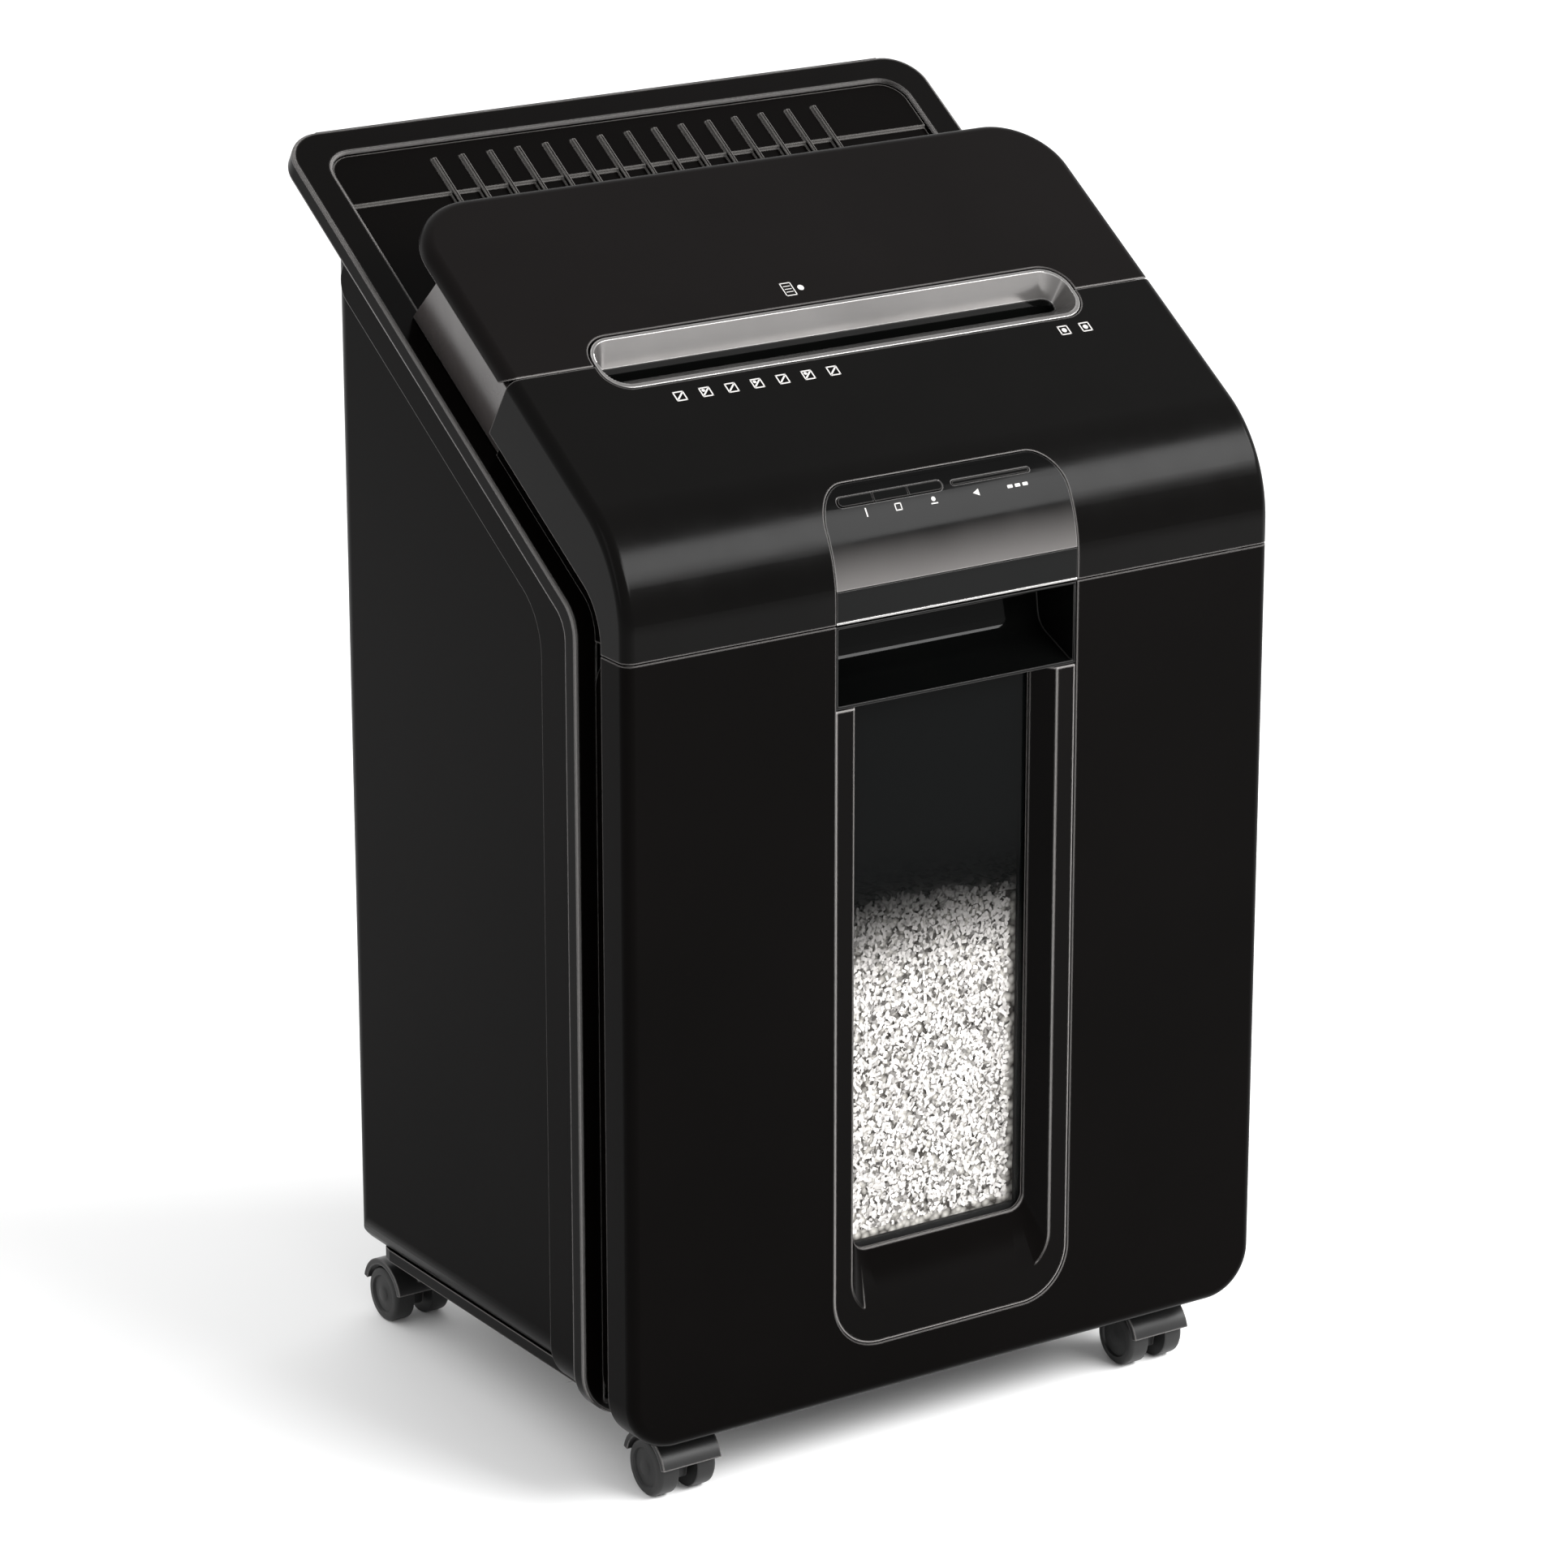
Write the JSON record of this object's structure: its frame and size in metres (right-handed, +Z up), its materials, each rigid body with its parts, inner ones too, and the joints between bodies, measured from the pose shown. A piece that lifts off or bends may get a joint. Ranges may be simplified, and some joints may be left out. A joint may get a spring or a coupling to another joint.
{
  "type": "paper shredder",
  "caption": "Free-standing office paper shredder with a sloping lid over an auto-feed tray, a manual slot, a pull-out bin with a window, and swivel casters.",
  "frame": {"origin": "middle of the footprint of the whole machine, on the floor under the casters", "axes": "+Z up, -Y towards the front with the bin window and the controls, +X towards the machine's right as seen from the front"},
  "size_m": [0.322, 0.2744, 0.5373],
  "materials": {
    "casing_plastic": "satin",
    "lid_plastic": "fine satin",
    "gloss_plastic": "polished",
    "smoked_window": "clear, smoked",
    "slot_trim": "satin grey",
    "cheek_plastic": "semi-gloss",
    "inner_plastic": "matte",
    "gear_plastic": "natural",
    "marker_plastic": "satin",
    "board": "solder resist",
    "steel": "bright",
    "bearing_metal": "sintered",
    "motor_steel": "grey paint",
    "caster_plastic": "satin",
    "wheel_plastic": "matte",
    "roller_rubber": "ribbed",
    "loose_shreds": "loose confetti"
  },
  "bodies": {
    "cabinet": {"body_frame": "casing_plastic", "cabinet_shell": "casing_plastic", "rear_panel": "casing_plastic", "power_inlet": "inner_plastic", "base_plate": "casing_plastic", "tray_floor": "lid_plastic", "tray_cheek_left": "cheek_plastic", "tray_cheek_right": "cheek_plastic", "head_collar": "casing_plastic", "top_casing": "casing_plastic", "control_panel": "gloss_plastic", "indicator_strip": "gloss_plastic", "control_board": "board", "throat_bezel": "slot_trim", "side_plate_left": "steel", "side_plate_right": "steel", "bearing_plate_left": "bearing_metal", "bearing_plate_right": "bearing_metal", "tie_rod": "steel", "stripper_comb_front": "inner_plastic", "stripper_comb_rear": "inner_plastic", "motor_can": "motor_steel", "motor_bracket": "steel", "chassis_plate": "inner_plastic", "interlock_switch": "inner_plastic"},
    "lid": {"feed_lid": "lid_plastic", "lid_liner": "lid_plastic", "hinge_arm_left": "steel", "hinge_arm_right": "steel"},
    "pressure_paddle": {"pressure_plate": "inner_plastic"},
    "bin": {"bin_front": "casing_plastic", "window_frame": "gloss_plastic", "window_pane": "smoked_window", "bin_handle": "gloss_plastic", "bin_tub": "inner_plastic", "shredded_paper": "loose_shreds"},
    "reverse_button": {"button_reverse": "gloss_plastic"},
    "power_button": {"button_power": "gloss_plastic"},
    "forward_button": {"button_forward": "gloss_plastic"},
    "mains_rocker": {"power_rocker": "inner_plastic"},
    "rear_cutter_shaft": {"cutter_rear": "steel", "cutter_gear_rear": "steel"},
    "front_cutter_shaft": {"cutter_front": "steel", "cutter_gear_front": "steel"},
    "reduction_wheel": {"reduction_gear": "gear_plastic"},
    "motor_rotor": {"motor_shaft": "steel", "cooling_fan": "inner_plastic"},
    "feed_idler": {"feed_idler_gear": "gear_plastic"},
    "feed_shaft": {"feed_roller": "gear_plastic", "feed_tyre_left": "roller_rubber", "feed_tyre_right": "roller_rubber"},
    "plunger": {"interlock_plunger": "marker_plastic"},
    "swivel_front_left": {"caster_body_front_left": "caster_plastic"},
    "wheels_front_left": {"caster_wheels_front_left": "wheel_plastic"},
    "swivel_front_right": {"caster_body_front_right": "caster_plastic"},
    "wheels_front_right": {"caster_wheels_front_right": "wheel_plastic"},
    "swivel_rear_left": {"caster_body_rear_left": "caster_plastic"},
    "wheels_rear_left": {"caster_wheels_rear_left": "wheel_plastic"},
    "swivel_rear_right": {"caster_body_rear_right": "caster_plastic"},
    "wheels_rear_right": {"caster_wheels_rear_right": "wheel_plastic"}
  },
  "joints": [
    {"name": "lid_hinge", "type": "hinge", "parent": "cabinet", "child": "lid", "pos_m": [0, -0.05749, 0.45919], "axis": [1, 0, 0], "range_deg": [0, 70]},
    {"name": "press_hinge", "type": "hinge", "parent": "lid", "child": "pressure_paddle", "pos_m": [0, 0.02851, 0.5067], "axis": [1, 0, 0], "range_deg": [-18, 0], "stiffness_Nm_per_rad": 0.05, "springref_deg": 17.19},
    {"name": "bin_slide", "type": "slide", "parent": "cabinet", "child": "bin", "axis": [0, -1, 0], "range_m": [0, 0.19]},
    {"name": "reverse_press", "type": "slide", "parent": "cabinet", "child": "reverse_button", "axis": [0, 0.7793, -0.6266], "range_m": [0, 0.001], "stiffness_N_per_m": 400},
    {"name": "power_press", "type": "slide", "parent": "cabinet", "child": "power_button", "axis": [0, 0.7793, -0.6266], "range_m": [0, 0.001], "stiffness_N_per_m": 400},
    {"name": "forward_press", "type": "slide", "parent": "cabinet", "child": "forward_button", "axis": [0, 0.7793, -0.6266], "range_m": [0, 0.001], "stiffness_N_per_m": 400},
    {"name": "rocker_tilt", "type": "hinge", "parent": "cabinet", "child": "mains_rocker", "pos_m": [0.075, 0.11176, 0.385], "axis": [1, 0, 0], "range_deg": [0, 12]},
    {"name": "rear_cutter_spin", "type": "hinge", "parent": "cabinet", "child": "rear_cutter_shaft", "pos_m": [0, -0.02624, 0.378], "axis": [1, 0, 0], "continuous": true},
    {"name": "front_cutter_spin", "type": "hinge", "parent": "cabinet", "child": "front_cutter_shaft", "pos_m": [0, -0.05624, 0.378], "axis": [1, 0, 0], "continuous": true},
    {"name": "reduction_spin", "type": "hinge", "parent": "cabinet", "child": "reduction_wheel", "pos_m": [0, -0.00087, 0.38723], "axis": [1, 0, 0], "continuous": true},
    {"name": "motor_spin", "type": "hinge", "parent": "cabinet", "child": "motor_rotor", "pos_m": [0, 0.04396, 0.38331], "axis": [1, 0, 0], "continuous": true},
    {"name": "feed_idler_spin", "type": "hinge", "parent": "cabinet", "child": "feed_idler", "pos_m": [0, -0.03058, 0.40262], "axis": [1, 0, 0], "continuous": true},
    {"name": "feed_roller_spin", "type": "hinge", "parent": "cabinet", "child": "feed_shaft", "pos_m": [0, -0.01958, 0.42167], "axis": [1, 0, 0], "continuous": true},
    {"name": "interlock_press", "type": "slide", "parent": "cabinet", "child": "plunger", "axis": [0, 1, 0], "range_m": [0, 0.002], "stiffness_N_per_m": 200},
    {"name": "swivel_front_left_turn", "type": "hinge", "parent": "cabinet", "child": "swivel_front_left", "pos_m": [-0.122, -0.09324, 0.03], "axis": [0, 0, 1], "continuous": true},
    {"name": "wheels_front_left_spin", "type": "hinge", "parent": "swivel_front_left", "child": "wheels_front_left", "pos_m": [-0.122, -0.10824, 0.0125], "axis": [1, 0, 0], "continuous": true},
    {"name": "swivel_front_right_turn", "type": "hinge", "parent": "cabinet", "child": "swivel_front_right", "pos_m": [0.122, -0.09324, 0.03], "axis": [0, 0, 1], "continuous": true},
    {"name": "wheels_front_right_spin", "type": "hinge", "parent": "swivel_front_right", "child": "wheels_front_right", "pos_m": [0.122, -0.10824, 0.0125], "axis": [1, 0, 0], "continuous": true},
    {"name": "swivel_rear_left_turn", "type": "hinge", "parent": "cabinet", "child": "swivel_rear_left", "pos_m": [-0.122, 0.09576, 0.03], "axis": [0, 0, 1], "continuous": true},
    {"name": "wheels_rear_left_spin", "type": "hinge", "parent": "swivel_rear_left", "child": "wheels_rear_left", "pos_m": [-0.122, 0.11076, 0.0125], "axis": [1, 0, 0], "continuous": true},
    {"name": "swivel_rear_right_turn", "type": "hinge", "parent": "cabinet", "child": "swivel_rear_right", "pos_m": [0.122, 0.09576, 0.03], "axis": [0, 0, 1], "continuous": true},
    {"name": "wheels_rear_right_spin", "type": "hinge", "parent": "swivel_rear_right", "child": "wheels_rear_right", "pos_m": [0.122, 0.11076, 0.0125], "axis": [1, 0, 0], "continuous": true}
  ],
  "couplings": [
    {"joint": "front_cutter_spin", "follows": "rear_cutter_spin", "ratio": -1},
    {"joint": "reduction_spin", "follows": "rear_cutter_spin", "ratio": -1.25},
    {"joint": "motor_spin", "follows": "rear_cutter_spin", "ratio": 5},
    {"joint": "feed_idler_spin", "follows": "rear_cutter_spin", "ratio": -1.5},
    {"joint": "feed_roller_spin", "follows": "rear_cutter_spin", "ratio": 1.25}
  ]
}
